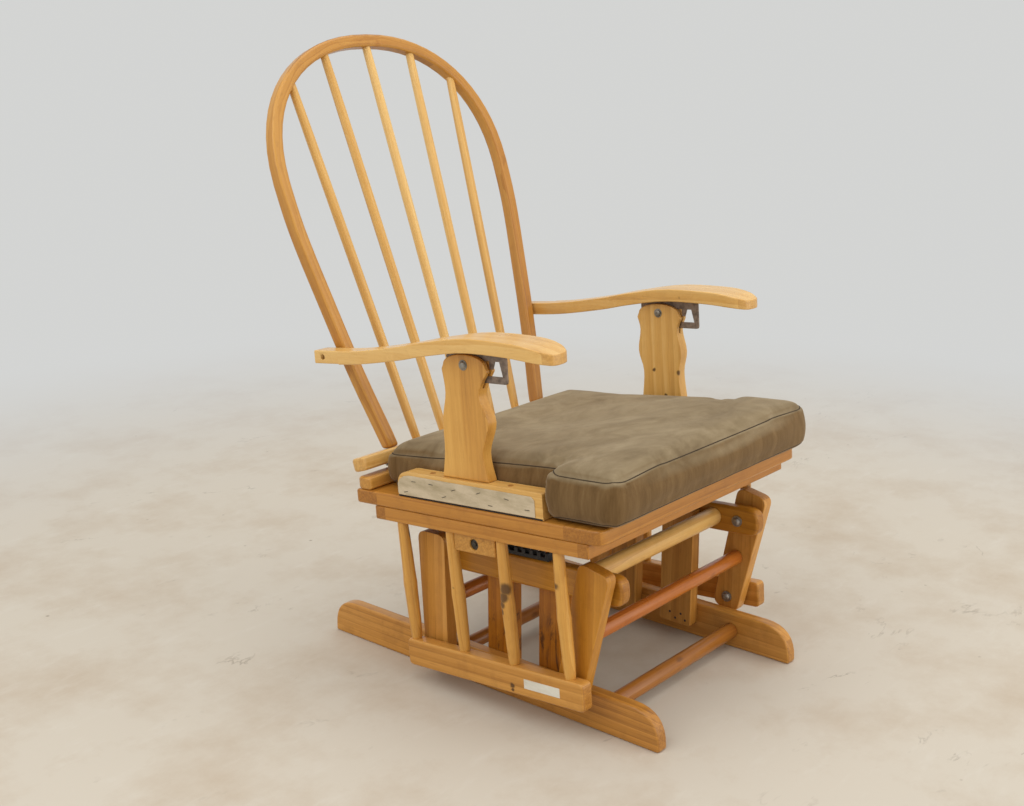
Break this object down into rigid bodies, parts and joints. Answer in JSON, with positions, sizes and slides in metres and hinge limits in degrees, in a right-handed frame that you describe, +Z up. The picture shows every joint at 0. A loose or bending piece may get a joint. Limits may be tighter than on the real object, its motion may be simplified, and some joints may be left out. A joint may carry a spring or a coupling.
{
  "type": "glider nursery chair",
  "caption": "Bow-back wooden glider chair: cushioned seat on swinging links over a floor base, reclining spindle back, armrests that follow it.",
  "frame": {"origin": "middle of the bounding box on the floor", "axes": "+Z up, the sitter faces -Y, -X is the sitter's right"},
  "size_m": [0.5762, 0.7832, 1.006],
  "materials": {
    "honey_wood": "honey-stained clear lacquer",
    "amber_wood": "darker amber lacquer",
    "russet_wood": "reddish stained dowel, lacquered",
    "bolt_steel": "dull plated steel",
    "hinge_steel": "dull plated strip hinge",
    "flat_steel": "bronze-grey flat bar",
    "black_plastic": "matt black",
    "webbing": "woven strap",
    "suede_cushion": "olive-brown brushed suede"
  },
  "bodies": {
    "base": {"base_post_front_left": "amber_wood", "base_post_front_right": "amber_wood", "base_post_rear_left": "amber_wood", "base_post_rear_right": "amber_wood", "fixed_rail_left": "amber_wood", "fixed_rail_right": "amber_wood", "floor_runner_left": "amber_wood", "floor_runner_right": "amber_wood", "glide_lock_rack": "black_plastic", "lower_stretcher_front": "russet_wood", "lower_stretcher_rear": "russet_wood", "upper_pivot_bolt_front_left": "bolt_steel", "upper_pivot_bolt_front_right": "bolt_steel", "upper_pivot_bolt_rear_left": "bolt_steel", "upper_pivot_bolt_rear_right": "bolt_steel", "upper_stretcher_front": "amber_wood"},
    "front_links": {"front_link_dowel": "russet_wood", "front_link_left": "amber_wood", "front_link_right": "amber_wood"},
    "rear_links": {"rear_link_dowel": "russet_wood", "rear_link_left": "amber_wood", "rear_link_right": "amber_wood"},
    "seat": {"arm_block_left": "honey_wood", "arm_block_right": "honey_wood", "arm_post_left": "honey_wood", "arm_post_right": "honey_wood", "back_hinge_lower_leaf": "hinge_steel", "glide_lock_block": "honey_wood", "glide_rail_left": "honey_wood", "glide_rail_right": "honey_wood", "lower_pivot_bolt_front_left": "bolt_steel", "lower_pivot_bolt_front_right": "bolt_steel", "lower_pivot_bolt_rear_left": "bolt_steel", "lower_pivot_bolt_rear_right": "bolt_steel", "seat_cushion": "suede_cushion", "seat_hinge_bar": "honey_wood", "seat_lower_frame": "honey_wood", "seat_top_frame": "honey_wood", "seat_webbing": "webbing", "side_spindle_1_left": "honey_wood", "side_spindle_1_right": "honey_wood", "side_spindle_2_left": "honey_wood", "side_spindle_2_right": "honey_wood", "side_spindle_3_left": "honey_wood", "side_spindle_3_right": "honey_wood", "side_spindle_4_left": "honey_wood", "side_spindle_4_right": "honey_wood"},
    "back": {"back_bar": "honey_wood", "back_bow": "honey_wood", "back_hinge_upper_leaf": "hinge_steel", "back_spindle_1": "honey_wood", "back_spindle_2": "honey_wood", "back_spindle_3": "honey_wood", "back_spindle_4": "honey_wood", "back_spindle_5": "honey_wood"},
    "arm_right": {"armrest_right": "honey_wood", "recline_plate_right": "flat_steel"},
    "arm_left": {"armrest_left": "honey_wood", "recline_plate_left": "flat_steel"}
  },
  "joints": [
    {"name": "glide_swing", "type": "hinge", "parent": "base", "child": "front_links", "pos_m": [0, -0.28462, 0.226], "axis": [-1, 0, 0], "range_deg": [-10, 20]},
    {"name": "rear_link_swing", "type": "hinge", "parent": "base", "child": "rear_links", "pos_m": [0, 0.02238, 0.2072], "axis": [-1, 0, 0], "range_deg": [-10, 20]},
    {"name": "seat_swing", "type": "hinge", "parent": "front_links", "child": "seat", "pos_m": [0, -0.25332, 0.0747], "axis": [-1, 0, 0], "range_deg": [-23, 11.5]},
    {"name": "back_recline", "type": "hinge", "parent": "seat", "child": "back", "pos_m": [0, 0.14926, 0.32912], "axis": [-1, 0, 0], "range_deg": [0, 18.3]},
    {"name": "arm_right_pivot", "type": "hinge", "parent": "back", "child": "arm_right", "pos_m": [-0.24, 0.2129, 0.51132], "axis": [-1, 0, 0], "range_deg": [-14.3, 0]},
    {"name": "arm_left_pivot", "type": "hinge", "parent": "back", "child": "arm_left", "pos_m": [0.24, 0.2129, 0.51132], "axis": [-1, 0, 0], "range_deg": [-14.3, 0]}
  ],
  "couplings": [
    {"joint": "rear_link_swing", "follows": "glide_swing", "ratio": 0.9873},
    {"joint": "seat_swing", "follows": "glide_swing", "ratio": -1.1388},
    {"joint": "arm_right_pivot", "follows": "back_recline", "ratio": -0.7778},
    {"joint": "arm_left_pivot", "follows": "back_recline", "ratio": -0.7778}
  ]
}
